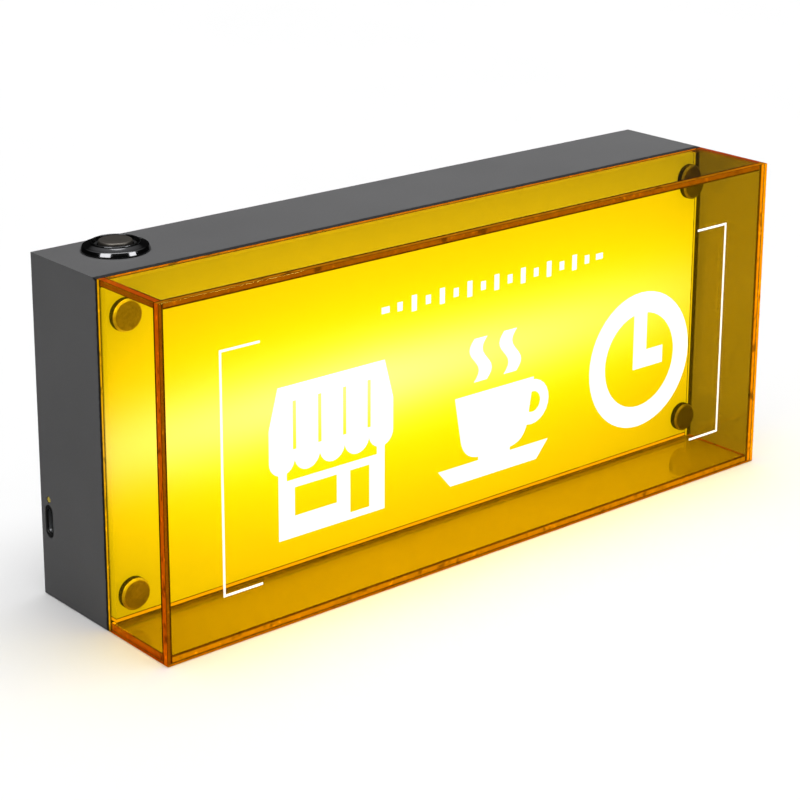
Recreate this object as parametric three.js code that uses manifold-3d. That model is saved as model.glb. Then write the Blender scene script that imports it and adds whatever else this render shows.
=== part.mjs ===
// Lighted advertising sign: a painted steel housing with a battery, a charging board and an LED bar in it,
// an opal light panel held by four cap screws, and a clear yellow acrylic cover that pushes on over the panel.
// Millimetres. +X is the viewer's right, -Y the front, +Z up. The origin is under the middle of the sign.
import * as THREE from 'three';
import { mergeVertices } from 'three/addons/utils/BufferGeometryUtils.js';
import Module from 'manifold-3d';

const wasm = await Module();
wasm.setup();

// Driving dimensions
const width = 300;
const height = 130;
const coverDepth = 37; // acrylic cover, front face to seam
const housingDepth = 42; // housing, seam to rear rim
const sheet = 3; // acrylic sheet thickness
const wall = 1.5; // housing steel thickness
const seamGap = 0.4; // daylight between the cover's rear edges and the housing
const slideGap = 0.4; // between the cover's walls and the light panel's edges

// Places along Y
const frontY = -(coverDepth + housingDepth) / 2;
const rearY = -frontY;
const seamY = frontY + coverDepth;
const coverRearY = seamY - seamGap;
const panelFrontY = seamY - sheet;
const rearCoverDepth = 1.5;
const rearCoverInset = 0.3;
const rearCoverFrontY = rearY - rearCoverInset - rearCoverDepth;

// Housing
const lip = 4.5; // front flange, beyond the wall
const tabWidth = 12;
const tabReach = 4.5;
const tabX = 60;
const rearCoverGap = 0.3;

// Cap screws and the posts that they screw into
const capX = width / 2 - 10.5;
const capInset = 13.5;
const capRadius = 6;
const capHeight = 3;
const capChamfer = 0.8;
const studRadius = 2;
const studLength = 14;
const postRadius = 3.5;
const postLength = rearCoverFrontY - seamY;
const threadGap = 0.3;

// Rear screws
const screwRadius = 1.5;
const screwLength = 9;
const screwHeadRadius = 3;
const screwHeadDepth = 1.2;
const screwSocketRadius = 1.15;
const screwSocketDepth = 0.8;

// Light unit
const channelLength = 272;
const channelHeight = 24;
const channelDepth = 8;
const channelWall = 1.2;
const channelFrontY = 6.9;
const channelBackY = channelFrontY + channelDepth;
const channelScrewX = 131;
const lightZ = height / 2;
const reflectorDepth = 0.8;
const reflectorBackY = channelBackY + reflectorDepth;
const ledBoardLength = 252;
const ledBoardHeight = 14;
const ledBoardDepth = 1.6;
const ledCount = 22;
const ledPitch = 11.4;
const ledSize = 5;
const ledDepth = 1.6;
const reflectorEdge = 4;
const notchX = -111; // the reflector's corner is cut away round the switch
const notchZ = 96;
const lightLeadX = -141.3;

// Push-button switch, on the top near the left end
const switchX = -width / 2 + 24.6;
const switchY = seamY + 25.4;
const bezelRadius = 12.1;
const bezelEdge = 0.9;
const rimRadius = 8.9; // raised ring round the button
const rimHeight = 3.4;
const recessRadius = 8.1;
const recessHeight = 1.2;
const ringHeight = 2.3;
const gasketDepth = 0.5;
const barrelRadius = 10;
const barrelBottomZ = 98;
const barrelFootRadius = 9;
const barrelFootHeight = 6;
const buttonRadius = 6.1;
const stemRadius = 2;
const buttonTopZ = height + 3.9;
const buttonTravel = 2.5;
const springFloorZ = 116;
const springTopZ = 126;
const springInnerRadius = 3;
const springOuterRadius = 4.4;
const nutFlats = 24;
const nutDepth = 4;

// Charging unit, at the left end
const portZ = 29.6;
const portY = rearY - 5;
const portHeight = 12.5;
const portWidth = 4.9;
const portSlotHeight = 9.6;
const portSlotWidth = 3.8;
const indicatorZ = 38;
const indicatorRadius = 1.2;
const boardDepth = 1;
const padDepth = 0.6;
const boardFrontY = rearCoverFrontY - padDepth - boardDepth;
const boardLeftX = -width / 2 + 2.1;
const boardWidth = 27;
const boardBottomZ = 19;
const boardHeight = 33;

// Battery
const cellRadius = 9.1;
const cellLength = 65;
const batteryX = 10;
const batteryZ = 40;
const holderWall = 1.5;
const holderDepth = 13;
const holderFrontY = rearCoverFrontY - holderDepth;
const cellGap = 0.3;

// White vinyl on the front
const vinyl = 0.15;
const bracketX = 126.3;
const bracketBottomZ = 19;
const bracketTopZ = 109;
const bracketArm = 17;
const bracketLine = 0.85;
const symbolPitch = 78;
const symbolBottomZ = 33;

// Round facets
const fineFacets = 48;
const facets = 24;
const smallFacets = 16;

const finishes = {
  greySteel: new THREE.MeshStandardMaterial({ color: 0x4f4f50, roughness: 0.55, metalness: 0.2 }),
  opalAcrylic: new THREE.MeshStandardMaterial({ color: 0xfff3c4, roughness: 0.4, metalness: 0 }),
  yellowAcrylic: new THREE.MeshStandardMaterial({
    color: 0xffc400,
    roughness: 0.05,
    metalness: 0,
    transparent: true,
    opacity: 0.45,
  }),
  brushedSteel: new THREE.MeshStandardMaterial({ color: 0xb9b6ae, roughness: 0.3, metalness: 1 }),
  zincSteel: new THREE.MeshStandardMaterial({ color: 0xa9abad, roughness: 0.4, metalness: 1 }),
  blackScrew: new THREE.MeshStandardMaterial({ color: 0x1c1c1d, roughness: 0.4, metalness: 0.8 }),
  aluminium: new THREE.MeshStandardMaterial({ color: 0xc9cbce, roughness: 0.35, metalness: 1 }),
  brass: new THREE.MeshStandardMaterial({ color: 0xc9a44f, roughness: 0.3, metalness: 1 }),
  blackMetal: new THREE.MeshStandardMaterial({ color: 0x101011, roughness: 0.15, metalness: 0.9 }),
  buttonFace: new THREE.MeshStandardMaterial({ color: 0x4a453e, roughness: 0.45, metalness: 0.8 }),
  blackPlastic: new THREE.MeshStandardMaterial({ color: 0x0c0c0c, roughness: 0.4, metalness: 0 }),
  blackRubber: new THREE.MeshStandardMaterial({ color: 0x161616, roughness: 0.8, metalness: 0 }),
  whiteSheet: new THREE.MeshStandardMaterial({ color: 0xf2f2ee, roughness: 0.6, metalness: 0 }),
  boardGreen: new THREE.MeshStandardMaterial({ color: 0x1e5a34, roughness: 0.5, metalness: 0 }),
  whiteVinyl: new THREE.MeshStandardMaterial({ color: 0xffffff, roughness: 0.4, metalness: 0 }),
  cellWrap: new THREE.MeshStandardMaterial({ color: 0x2b6f9e, roughness: 0.35, metalness: 0.1 }),
  amberLens: new THREE.MeshStandardMaterial({ color: 0xb7a23a, roughness: 0.2, metalness: 0 }),
  leadRed: new THREE.MeshStandardMaterial({ color: 0x8f1d18, roughness: 0.5, metalness: 0 }),
};

// A closed solid from a three.js geometry: shared corners welded, flat slivers dropped, faces turned outwards.
function solid(geometry) {
  const bare = geometry.clone();
  bare.deleteAttribute('normal');
  bare.deleteAttribute('uv');
  const welded = mergeVertices(bare, 1e-4);
  const places = welded.attributes.position.array;
  const corners = [];
  for (let i = 0; i < welded.index.count; i += 3) {
    const face = [welded.index.getX(i), welded.index.getX(i + 1), welded.index.getX(i + 2)];
    if (new Set(face).size === 3) corners.push(face);
  }
  const point = (i) => new THREE.Vector3().fromArray(places, 3 * i);
  const volume = corners.reduce((sum, [a, b, c]) => sum + point(a).dot(point(b).cross(point(c))), 0);
  const outward = volume > 0 ? corners : corners.map(([a, b, c]) => [a, c, b]);
  return new wasm.Manifold(
    new wasm.Mesh({
      numProp: 3,
      vertProperties: Float32Array.from(places),
      triVerts: Uint32Array.from(outward.flat()),
    }),
  );
}

function geometryOf(body) {
  const cut = body.getMesh();
  const geometry = new THREE.BufferGeometry();
  geometry.setAttribute('position', new THREE.BufferAttribute(cut.vertProperties, 3));
  geometry.setIndex(new THREE.BufferAttribute(cut.triVerts, 1));
  return geometry;
}

// A box from its lowest and highest corners.
function block(low, high) {
  const size = high.map((value, i) => value - low[i]);
  const geometry = new THREE.BoxGeometry(...size);
  geometry.translate(...low.map((value, i) => value + size[i] / 2));
  return solid(geometry);
}

// A cylinder along Y from y = start to y = end, centred on x, z.
function rod(radius, start, end, x = 0, z = 0, sides = facets) {
  const geometry = new THREE.CylinderGeometry(radius, radius, end - start, sides);
  geometry.translate(x, (start + end) / 2, z);
  return solid(geometry);
}

// A turned piece about Y, from its half outline [radius, y].
function turned(outline, sides = facets) {
  const points = outline.map(([radius, y]) => new THREE.Vector2(radius, y));
  return solid(new THREE.LatheGeometry(points, sides));
}

// A flat piece drawn as seen from the front (x, z) and standing out towards -Y by depth.
function plate(shape, depth, curveSegments = 12) {
  const geometry = new THREE.ExtrudeGeometry(shape, { depth, bevelEnabled: false, curveSegments });
  geometry.rotateX(Math.PI / 2);
  return solid(geometry);
}

// The same outline, drawn in (z, y) and standing out along X by depth.
function sidePlate(shape, depth, curveSegments = 10) {
  const geometry = new THREE.ExtrudeGeometry(shape, { depth, bevelEnabled: false, curveSegments });
  geometry.applyMatrix4(new THREE.Matrix4().set(0, 0, 1, 0, 0, 1, 0, 0, 1, 0, 0, 0, 0, 0, 0, 1));
  return solid(geometry);
}

function outlineShape(points) {
  return new THREE.Shape(points.map(([x, y]) => new THREE.Vector2(x, y)));
}

function holePath(points) {
  return new THREE.Path(points.map(([x, y]) => new THREE.Vector2(x, y)));
}

function rectanglePoints(left, right, bottom, top) {
  return [[left, bottom], [right, bottom], [right, top], [left, top]];
}

function roundHole(x, y, radius) {
  return new THREE.Path().absarc(x, y, radius, 0, 2 * Math.PI, true);
}

// A slot with round ends, long in its first axis.
function stadium(length, across) {
  const radius = across / 2;
  const half = length / 2 - radius;
  const shape = new THREE.Shape();
  shape.absarc(half, 0, radius, -Math.PI / 2, Math.PI / 2, false);
  shape.absarc(-half, 0, radius, Math.PI / 2, 1.5 * Math.PI, false);
  return shape;
}

const sign = new THREE.Group();
const cover = new THREE.Group();
sign.add(cover);

function place(name, body, finish, at = [0, 0, 0], group = sign) {
  const mesh = new THREE.Mesh(geometryOf(body), finishes[finish]);
  mesh.name = name;
  mesh.position.set(...at);
  group.add(mesh);
  return mesh;
}

const corners = [
  ['top_left', -capX, height - capInset],
  ['top_right', capX, height - capInset],
  ['bottom_left', -capX, capInset],
  ['bottom_right', capX, capInset],
];

// Housing: four walls with a narrow flange round the front, tabs for the rear cover, and its cut-outs
function housingShell() {
  const half = width / 2;
  let body = block([-half, seamY, 0], [half, rearY, height]);
  body = body.subtract(block([-half + wall, seamY + wall, wall], [half - wall, rearY + 1, height - wall]));
  const edge = wall + lip;
  const opening = block([-half + edge, seamY - 1, edge], [half - edge, seamY + wall + 0.1, height - edge]);
  body = body.subtract(opening);
  for (const x of [-tabX, tabX]) {
    const sides = [[wall / 2, wall + tabReach], [height - wall - tabReach, height - wall / 2]];
    for (const [low, high] of sides) {
      const back = rearCoverFrontY;
      body = body.add(block([x - tabWidth / 2, back - wall, low], [x + tabWidth / 2, back, high]));
    }
  }
  const switchHole = rod(barrelRadius + threadGap, -5, 5, 0, 0, fineFacets)
    .rotate([90, 0, 0])
    .translate([switchX, switchY, height]);
  const portShape = sidePlate(stadium(portHeight + 0.4, portWidth + 0.4), 6);
  const portHole = portShape.translate([-half - 2, portY, portZ]);
  const indicatorHole = rod(indicatorRadius + 0.2, -3, 3, 0, 0, smallFacets)
    .rotate([0, 0, 90])
    .translate([-half, portY, indicatorZ]);
  return body.subtract(switchHole).subtract(portHole).subtract(indicatorHole);
}

// Rear cover: a flat plate inside the housing's rear rim, countersunk for six screws
function rearCover() {
  const x = width / 2 - wall - rearCoverGap;
  const low = wall + rearCoverGap;
  let body = block([-x, 0, low], [x, rearCoverDepth, height - low]);
  const sink = turned([
    [0, -1],
    [screwRadius + 0.4, -1],
    [screwRadius + 0.4, 0.1],
    [screwHeadRadius + 0.45, rearCoverDepth],
    [screwHeadRadius + 0.45, rearCoverDepth + 1],
    [0, rearCoverDepth + 1],
  ]);
  const places = corners.map(([, sinkX, z]) => [sinkX, z]);
  places.push([-channelScrewX, lightZ], [channelScrewX, lightZ]);
  for (const [sinkX, z] of places) body = body.subtract(sink.translate([sinkX, 0, z]));
  return body;
}

// Countersunk screw, head to the rear at y = 0, with a hexagon socket
function rearScrew() {
  const outline = [
    [0, -screwLength],
    [screwRadius, -screwLength],
    [screwRadius, -screwHeadDepth],
    [screwHeadRadius, 0],
    [0, 0],
  ];
  const socket = rod(screwSocketRadius, -screwSocketDepth, 1, 0, 0, 6);
  return turned(outline).subtract(socket);
}

// Light panel: opal sheet with a hole for each cap screw
function lightPanel() {
  const x = width / 2 - sheet - slideGap;
  const low = sheet + slideGap;
  const shape = outlineShape(rectanglePoints(-x, x, low, height - low));
  for (const [, holeX, z] of corners) shape.holes.push(roundHole(holeX, z, studRadius + 0.4));
  return plate(shape, sheet, smallFacets / 2);
}

// Cap screw: a flat cap with a chamfered edge on a threaded stud; the cap's seat is at y = 0
function capScrew() {
  return turned([
    [0, -capHeight],
    [capRadius - capChamfer, -capHeight],
    [capRadius, -capHeight + capChamfer],
    [capRadius, 0],
    [studRadius, 0],
    [studRadius, studLength],
    [0, studLength],
  ], 32);
}

// Post between the light panel and the rear cover, bored for the cap's stud and for the rear screw
function panelPost() {
  const stud = rod(studRadius + threadGap, -1, studLength + 1);
  const screw = rod(screwRadius + threadGap, postLength - screwLength - 1, postLength + 1);
  return rod(postRadius, 0, postLength).subtract(stud).subtract(screw);
}

// Light unit: channel, LED board, reflector sheet and its two posts
function lightChannel() {
  const half = channelLength / 2;
  const rise = channelHeight / 2;
  const trough = block(
    [-half - 1, -1, -rise + channelWall],
    [half + 1, channelDepth - channelWall, rise - channelWall],
  );
  let body = block([-half, 0, -rise], [half, channelDepth, rise]).subtract(trough);
  for (const x of [-channelScrewX, channelScrewX]) {
    body = body.subtract(rod(1.6, channelDepth - 3, channelDepth + 1, x, 0, smallFacets));
  }
  return body;
}

function ledBoard() {
  const half = ledBoardLength / 2;
  let body = block([-half, 0, -ledBoardHeight / 2], [half, ledBoardDepth, ledBoardHeight / 2]);
  for (let i = 0; i < ledCount; i += 1) {
    const x = (i - (ledCount - 1) / 2) * ledPitch;
    const reach = ledSize / 2;
    body = body.add(block([x - reach, -ledDepth, -reach], [x + reach, 0.2, reach]));
  }
  return body;
}

function reflectorSheet() {
  const x = width / 2 - reflectorEdge;
  const top = height - reflectorEdge;
  const shape = outlineShape([
    [-x, reflectorEdge],
    [x, reflectorEdge],
    [x, top],
    [notchX, top],
    [notchX, notchZ],
    [-x, notchZ],
  ]);
  for (const [name, holeX, z] of corners) {
    if (name !== 'top_left') shape.holes.push(roundHole(holeX, z, postRadius + 0.4));
  }
  for (const screwX of [-channelScrewX, channelScrewX]) shape.holes.push(roundHole(screwX, lightZ, 1.6));
  shape.holes.push(roundHole(lightLeadX, lightZ, 2.4));
  return plate(shape, reflectorDepth, smallFacets / 2);
}

function channelPost() {
  const length = rearCoverFrontY - reflectorBackY;
  const front = rod(1.6, -1, 8, 0, 0, smallFacets);
  const rear = rod(screwRadius + threadGap, length - screwLength - 1, length + 1, 0, 0, smallFacets);
  return rod(postRadius, 0, length).subtract(front).subtract(rear);
}

// Pan screw, head to the front with its seat at y = 0
function channelScrew() {
  return turned([[0, -1.4], [2, -1.4], [2.6, -0.8], [2.6, 0], [1.3, 0], [1.3, 8], [0, 8]], smallFacets);
}

// Push-button switch: all its turned pieces are drawn about their axis, with heights above the sign's foot
function upright(outline, sides = fineFacets) {
  return turned(outline, sides).rotate([90, 0, 0]);
}

function switchBody() {
  const seat = height + gasketDepth;
  const bore = buttonRadius + 0.3;
  return upright([
    [0, barrelBottomZ],
    [barrelFootRadius, barrelBottomZ],
    [barrelFootRadius, barrelBottomZ + barrelFootHeight],
    [barrelRadius, barrelBottomZ + barrelFootHeight],
    [barrelRadius, seat],
    [bezelRadius, seat],
    [bezelRadius, seat + bezelEdge],
    [rimRadius, height + rimHeight - 0.15],
    [rimRadius - 0.3, height + rimHeight],
    [recessRadius, height + rimHeight - 0.3],
    [recessRadius, height + recessHeight],
    [bore, height + recessHeight],
    [bore, springFloorZ],
    [0, springFloorZ],
  ]);
}

function switchRing() {
  const low = height + recessHeight;
  const high = height + ringHeight;
  const inner = buttonRadius + 0.4;
  const outer = recessRadius - 0.2;
  const chamfered = [[outer, high - 0.3], [outer - 0.3, high]];
  return upright([[inner, low], [outer, low], ...chamfered, [inner, high], [inner, low]]);
}

function switchGasket() {
  const inner = barrelRadius + 0.3;
  const outer = bezelRadius - 0.5;
  const high = height + gasketDepth;
  return upright([[inner, height], [outer, height], [outer, high], [inner, high], [inner, height]]);
}

function switchNut() {
  const hexagon = rod(nutFlats / 2 / Math.cos(Math.PI / 6), 0, nutDepth, 0, 0, 6);
  const bore = rod(barrelRadius + threadGap, -1, nutDepth + 1, 0, 0, fineFacets);
  return hexagon.subtract(bore).rotate([90, 0, 0]);
}

function switchButton() {
  const stemBottom = springFloorZ + buttonTravel + 0.4;
  return upright([
    [0, stemBottom],
    [stemRadius, stemBottom],
    [stemRadius, springTopZ],
    [buttonRadius, springTopZ],
    [buttonRadius, buttonTopZ - 0.4],
    [buttonRadius - 0.4, buttonTopZ],
    [0, buttonTopZ],
  ]);
}

function switchSpring() {
  return upright([
    [springInnerRadius, springFloorZ],
    [springOuterRadius, springFloorZ],
    [springOuterRadius, springTopZ],
    [springInnerRadius, springTopZ],
    [springInnerRadius, springFloorZ],
  ], facets);
}

// Charging unit: board with its parts, foam pad, socket, socket surround and indicator lens
function chargeBoard() {
  const ledRise = indicatorZ - boardBottomZ;
  const raised = [
    [[12, -1.6, 6], [18, 0.2, 12]], // charging chip
    [[11, -3, 18], [18, 0.2, 25]], // lead connector
    [[0.3, -2.6, ledRise - 1], [3, 0.2, ledRise + 1]], // indicator LED
  ];
  const board = block([0, 0, 0], [boardWidth, boardDepth, boardHeight]);
  return raised.reduce((body, [low, high]) => body.add(block(low, high)), board);
}

function chargeSocket() {
  const length = 7.3;
  const shell = sidePlate(stadium(8.9, 3.2), length);
  const slot = sidePlate(stadium(8.3, 2.6), length).translate([-1.3, 0, 0]);
  const tongue = block([1, -0.35, -3.3], [length - 1, 0.35, 3.3]);
  return shell.subtract(slot).add(tongue);
}

function socketSurround() {
  const depth = 1.8;
  const ring = sidePlate(stadium(portHeight, portWidth), depth);
  return ring.subtract(sidePlate(stadium(portSlotHeight, portSlotWidth), depth + 2).translate([-1, 0, 0]));
}

function indicatorLens() {
  const rounded = [[indicatorRadius - 0.3, 0], [indicatorRadius, 0.3]];
  const outline = [[0, 0], ...rounded, [indicatorRadius, 1.9], [0, 1.9]];
  return turned(outline, smallFacets).rotate([0, 0, -90]);
}

// Battery: one round cell along X in a trough that is open to the front
function batteryHolder() {
  const half = cellLength / 2 + 1 + holderWall;
  const rise = cellRadius + cellGap + holderWall;
  const trough = block(
    [-half + holderWall, -1, -rise + holderWall],
    [half - holderWall, holderDepth - holderWall, rise - holderWall],
  );
  return block([-half, 0, -rise], [half, holderDepth, rise]).subtract(trough);
}

function batteryCell() {
  const half = cellLength / 2;
  return turned([
    [0, -half],
    [cellRadius, -half],
    [cellRadius, half - 0.5],
    [cellRadius - 0.5, half],
    [3, half],
    [3, half + 0.7],
    [0, half + 0.7],
  ]).rotate([0, 0, -90]);
}

// A lead of round section along a smooth curve
function lead(points, radius = 0.9) {
  const curve = new THREE.CatmullRomCurve3(points.map((point) => new THREE.Vector3(...point)));
  const section = new THREE.Shape().absarc(0, 0, radius, 0, 2 * Math.PI, false);
  const steps = Math.ceil(curve.getLength() / 5);
  const options = { steps, curveSegments: 4, extrudePath: curve };
  return solid(new THREE.ExtrudeGeometry(section, options));
}

// White vinyl: corner brackets and plain pictograms, drawn as seen from the front
function bracket(side) {
  const arm = side * bracketArm;
  const line = side * bracketLine;
  const rise = bracketTopZ - bracketBottomZ;
  return plate(outlineShape([
    [0, 0],
    [arm, 0],
    [arm, bracketLine],
    [line, bracketLine],
    [line, rise - bracketLine],
    [arm, rise - bracketLine],
    [arm, rise],
    [0, rise],
  ]), vinyl);
}

// A shop front: a striped awning whose scalloped edge hangs free over a window and a door
function shopSymbol() {
  const wallX = 24;
  const awningX = 28;
  const awningBottom = 30;
  const awningEaves = 42;
  const top = 57;
  const scallops = 5;
  const radius = awningX / scallops;
  const stripe = 0.8;
  const gapX = 20.5;
  const gapBottom = 21.8;
  const openingTop = 18.8;
  const shape = new THREE.Shape();
  shape.moveTo(-wallX, 0);
  shape.lineTo(wallX, 0);
  shape.lineTo(wallX, awningBottom);
  shape.lineTo(awningX, awningBottom);
  shape.lineTo(awningX, awningEaves);
  shape.lineTo(wallX, top);
  shape.lineTo(-wallX, top);
  shape.lineTo(-awningX, awningEaves);
  shape.lineTo(-awningX, awningBottom);
  shape.lineTo(-wallX, awningBottom);
  shape.holes.push(holePath(rectanglePoints(-gapX, gapX, gapBottom, awningBottom)));
  shape.holes.push(holePath(rectanglePoints(-17, 2, 8, openingTop)));
  shape.holes.push(holePath(rectanglePoints(8, 17, 2.5, openingTop)));
  let body = plate(shape, vinyl);
  for (let i = 0; i < scallops; i += 1) {
    const x = -awningX + radius * (2 * i + 1);
    body = body.add(plate(new THREE.Shape().absarc(x, awningBottom, radius, 0, 2 * Math.PI, false), vinyl));
  }
  for (let i = 1; i < scallops; i += 1) {
    const x = -awningX + 2 * radius * i;
    body = body.subtract(block([x - stripe, -1, awningBottom + 3], [x + stripe, 1, top - 6]));
  }
  return body;
}

// A cup with a handle on a saucer
function cupSymbol() {
  const cup = new THREE.Shape();
  cup.moveTo(-20, 34);
  cup.lineTo(-17, 17);
  cup.quadraticCurveTo(-15.5, 8.5, -7, 8.5);
  cup.lineTo(7, 8.5);
  cup.quadraticCurveTo(15.5, 8.5, 17, 17);
  cup.lineTo(20, 34);
  const handle = new THREE.Shape().absarc(19, 24, 9, 0, 2 * Math.PI, false);
  handle.holes.push(roundHole(19.5, 24, 4.2));
  const saucer = outlineShape([[-28, 7], [-22, 0], [22, 0], [28, 7]]);
  const foot = outlineShape(rectanglePoints(-8, 8, 6, 10));
  return plate(cup, vinyl).add(plate(handle, vinyl)).add(plate(saucer, vinyl)).add(plate(foot, vinyl));
}

// A curl of steam: a stroke that swings from side to side as it rises
function steamSymbol() {
  const stroke = 3.2;
  const sway = 2.4;
  const rise = 17;
  const steps = 12;
  const edge = (side) => Array.from({ length: steps + 1 }, (_, i) => {
    const part = i / steps;
    return [side * stroke + sway * Math.sin(2 * Math.PI * part), rise * part];
  });
  return plate(outlineShape([...edge(-1), ...edge(1).reverse()]), vinyl);
}

// A clock face: a ring with two hands
function clockSymbol() {
  const outer = 28;
  const ring = new THREE.Shape().absarc(0, outer, outer, 0, 2 * Math.PI, false);
  ring.holes.push(roundHole(0, outer, outer - 8.5));
  const minute = outlineShape(rectanglePoints(-3.6, 3.6, outer - 3.6, 2 * outer - 8));
  const hour = outlineShape(rectanglePoints(-3.6, 13, outer - 3.6, outer + 3.6));
  return plate(ring, vinyl, fineFacets / 2).add(plate(minute, vinyl)).add(plate(hour, vinyl));
}

// Housing, rear cover and light panel
place('housing_shell', housingShell(), 'greySteel');
place('rear_cover', rearCover(), 'greySteel', [0, rearCoverFrontY, 0]);
place('light_panel', lightPanel(), 'opalAcrylic', [0, seamY, 0]);
for (const [name, x, z] of corners) {
  place(`cap_screw_${name}`, capScrew(), 'brushedSteel', [x, panelFrontY, z]);
  place(`panel_post_${name}`, panelPost(), 'brass', [x, seamY, z]);
  place(`rear_screw_${name}`, rearScrew(), 'blackScrew', [x, rearCoverFrontY + rearCoverDepth - 0.05, z]);
}

// Light unit
place('light_channel', lightChannel(), 'aluminium', [0, channelFrontY, lightZ]);
place('led_board', ledBoard(), 'whiteSheet', [0, channelBackY - channelWall - ledBoardDepth, lightZ]);
place('reflector_sheet', reflectorSheet(), 'whiteSheet', [0, reflectorBackY, 0]);
for (const [name, x] of [['left', -channelScrewX], ['right', channelScrewX]]) {
  place(`channel_post_${name}`, channelPost(), 'brass', [x, reflectorBackY, lightZ]);
  place(`channel_screw_${name}`, channelScrew(), 'zincSteel', [x, channelBackY - channelWall, lightZ]);
  const screwY = rearCoverFrontY + rearCoverDepth - 0.05;
  place(`rear_screw_${name}`, rearScrew(), 'blackScrew', [x, screwY, lightZ]);
}

// Push-button switch
const switchAt = [switchX, switchY, 0];
place('switch_body', switchBody(), 'blackMetal', switchAt);
place('switch_ring', switchRing(), 'blackPlastic', switchAt);
place('switch_gasket', switchGasket(), 'blackRubber', switchAt);
place('switch_nut', switchNut(), 'zincSteel', [switchX, switchY, height - wall - nutDepth]);
place('switch_button', switchButton(), 'buttonFace', switchAt);
place('switch_spring', switchSpring(), 'zincSteel', switchAt);
for (const [name, offset] of [['a', -4], ['b', 4]]) {
  const tab = block([-1.4, -0.4, -7], [1.4, 0.4, 0]);
  place(`switch_terminal_${name}`, tab, 'brass', [switchX + offset, switchY, barrelBottomZ]);
}

// Charging unit
place('charge_board', chargeBoard(), 'boardGreen', [boardLeftX, boardFrontY, boardBottomZ]);
place('board_pad', block([2, 0, 1], [boardWidth - 1, padDepth, boardHeight - 1]), 'blackRubber',
  [boardLeftX, boardFrontY + boardDepth, boardBottomZ]);
place('charge_socket', chargeSocket(), 'brushedSteel', [-width / 2 + 0.7, boardFrontY - 1.6, portZ]);
place('socket_surround', socketSurround(), 'blackPlastic', [-width / 2 + 0.1, portY, portZ]);
place('indicator_lens', indicatorLens(), 'amberLens', [-width / 2 + 0.1, portY, indicatorZ]);

// Battery and leads
place('battery_holder', batteryHolder(), 'blackPlastic', [batteryX, holderFrontY, batteryZ]);
place('battery_cell', batteryCell(), 'cellWrap',
  [batteryX, rearCoverFrontY - holderWall - cellGap - cellRadius, batteryZ]);
place('battery_lead', lead([
  [batteryX - 36, 30, 40],
  [-50, 29, 38],
  [-90, 31, 33],
  [-116, 33.4, 35],
  [-126, 34.4, 38.5],
]), 'leadRed');
place('switch_lead', lead([
  [switchX, switchY, 90],
  [switchX + 1, switchY + 2, 78],
  [-123, 30, 64],
  [-124, 34, 54],
  [-125, 34.5, 47],
]), 'leadRed');
place('light_lead', lead([
  [-136, 34.5, 47.5],
  [-138, 32, 55],
  [lightLeadX + 0.3, 24, lightZ - 2],
  [lightLeadX, reflectorBackY, lightZ],
  [-140, 10.6, lightZ],
  [-134, 9.6, lightZ],
  [-127.5, 9.9, lightZ],
]), 'leadRed');

// Acrylic cover: five sheets glued at their edges, and the vinyl on its front
const coverHalf = width / 2;
const wallDepth = coverRearY - (frontY + sheet);
const frontSheet = block([-coverHalf, 0, 0], [coverHalf, sheet, height]);
place('cover_front', frontSheet, 'yellowAcrylic', [0, frontY, 0], cover);
for (const [name, x] of [['left', -coverHalf], ['right', coverHalf - sheet]]) {
  place(`cover_${name}`, block([0, 0, 0], [sheet, wallDepth, height]), 'yellowAcrylic',
    [x, frontY + sheet, 0], cover);
}
for (const [name, z] of [['top', height - sheet], ['bottom', 0]]) {
  place(`cover_${name}`, block([-coverHalf + sheet, 0, 0], [coverHalf - sheet, wallDepth, sheet]),
    'yellowAcrylic', [0, frontY + sheet, z], cover);
}
place('vinyl_bracket_left', bracket(1), 'whiteVinyl', [-bracketX, frontY, bracketBottomZ], cover);
place('vinyl_bracket_right', bracket(-1), 'whiteVinyl', [bracketX, frontY, bracketBottomZ], cover);
place('vinyl_shop', shopSymbol(), 'whiteVinyl', [-symbolPitch, frontY, symbolBottomZ], cover);
place('vinyl_cup', cupSymbol(), 'whiteVinyl', [0, frontY, symbolBottomZ], cover);
for (const [name, x] of [['left', -7.5], ['right', 7.5]]) {
  place(`vinyl_steam_${name}`, steamSymbol(), 'whiteVinyl', [x, frontY, symbolBottomZ + 38.5], cover);
}
place('vinyl_clock', clockSymbol(), 'whiteVinyl', [symbolPitch, frontY, symbolBottomZ], cover);

export default sign;
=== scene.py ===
# Lighted advertising sign: a powder coated steel housing, an opal panel that glows on four cap screws, and a
# clear yellow acrylic cover with white vinyl pictograms. Metres, in the CAD frame: -Y is the front, +Z up.
import math
import bmesh
import bpy
import numpy as np
from mathutils import Matrix, Vector


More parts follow.
